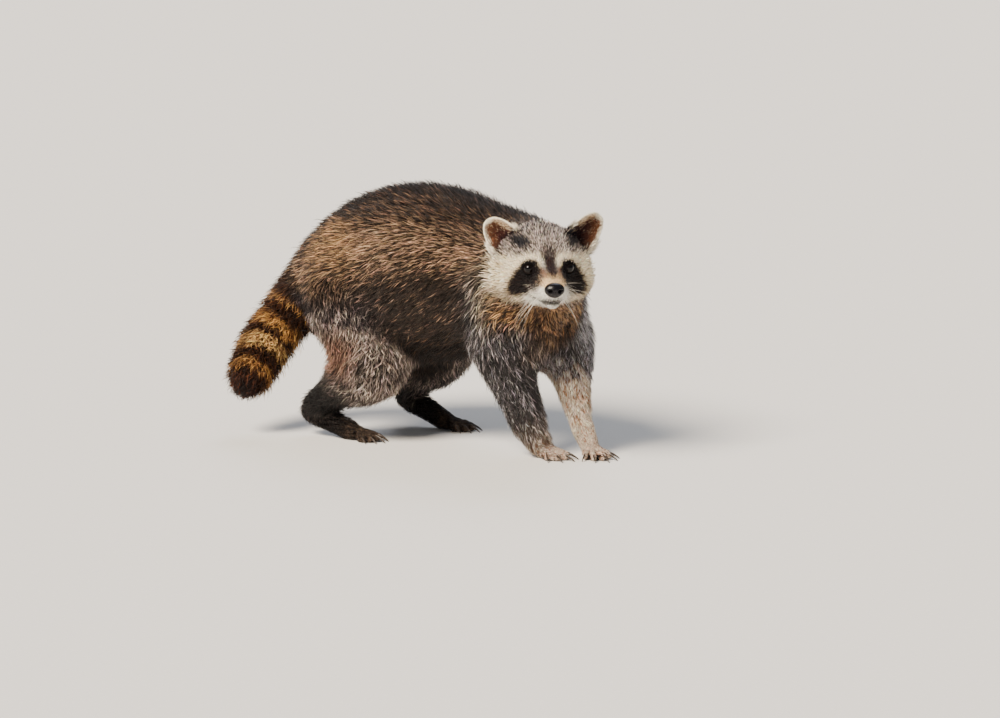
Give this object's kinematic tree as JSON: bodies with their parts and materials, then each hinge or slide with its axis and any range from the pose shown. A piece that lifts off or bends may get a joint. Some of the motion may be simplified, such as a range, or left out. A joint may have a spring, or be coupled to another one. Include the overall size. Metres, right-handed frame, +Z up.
{
  "type": "raccoon",
  "caption": "Life-size still model of an adult raccoon in its full coat, walking with arched back and hanging ringed tail, its head turned to its right.",
  "frame": {"origin": "centre of the bounding box's underside, on the floor under the belly", "axes": "+X from the rump towards the chest, +Y towards the animal's left side, +Z up"},
  "size_m": [0.524, 0.2376, 0.3145],
  "materials": {
    "fur_trunk": "long coat, grizzled brown, darkest along the back",
    "fur_neck": "long coat, greyer towards the cheeks and rusty on the throat",
    "fur_head": "short coat, pale with a black mask and a dark stripe",
    "fur_leg": "medium coat, silver over dark",
    "fur_forefoot": "very short coat, cream and grey",
    "fur_hindfoot": "very short coat, dark",
    "fur_tail": "long coat, golden tan with dark rings",
    "ear_skin": "thin skin under very short hair, pale at the rim",
    "nose_leather": "bare, moist and finely pebbled",
    "eye": "wet and glossy, nearly black",
    "claw_horn": "smooth dark horn"
  },
  "bodies": {
    "root": {"head": "fur_head", "muzzle": "fur_head", "lower_jaw": "fur_head", "nose": "nose_leather", "eye_right": "eye", "eye_left": "eye", "ear_right": "ear_skin", "ear_left": "ear_skin", "neck": "fur_neck", "trunk": "fur_trunk", "tail_1": "fur_tail", "tail_2": "fur_tail", "tail_3": "fur_tail", "tail_4": "fur_tail", "upper_arm_right": "fur_leg", "forearm_right": "fur_leg", "forefoot_right": "fur_forefoot", "upper_arm_left": "fur_leg", "forearm_left": "fur_leg", "forefoot_left": "fur_forefoot", "thigh_right": "fur_leg", "shank_right": "fur_leg", "hindfoot_right": "fur_hindfoot", "thigh_left": "fur_leg", "shank_left": "fur_leg", "hindfoot_left": "fur_hindfoot", "claw_fore_right_1": "claw_horn", "claw_fore_right_2": "claw_horn", "claw_fore_right_3": "claw_horn", "claw_fore_right_4": "claw_horn", "claw_fore_right_5": "claw_horn", "claw_fore_left_1": "claw_horn", "claw_fore_left_2": "claw_horn", "claw_fore_left_3": "claw_horn", "claw_fore_left_4": "claw_horn", "claw_fore_left_5": "claw_horn", "claw_hind_right_1": "claw_horn", "claw_hind_right_2": "claw_horn", "claw_hind_right_3": "claw_horn", "claw_hind_right_4": "claw_horn", "claw_hind_right_5": "claw_horn", "claw_hind_left_1": "claw_horn", "claw_hind_left_2": "claw_horn", "claw_hind_left_3": "claw_horn", "claw_hind_left_4": "claw_horn", "claw_hind_left_5": "claw_horn"}
  },
  "joints": []
}
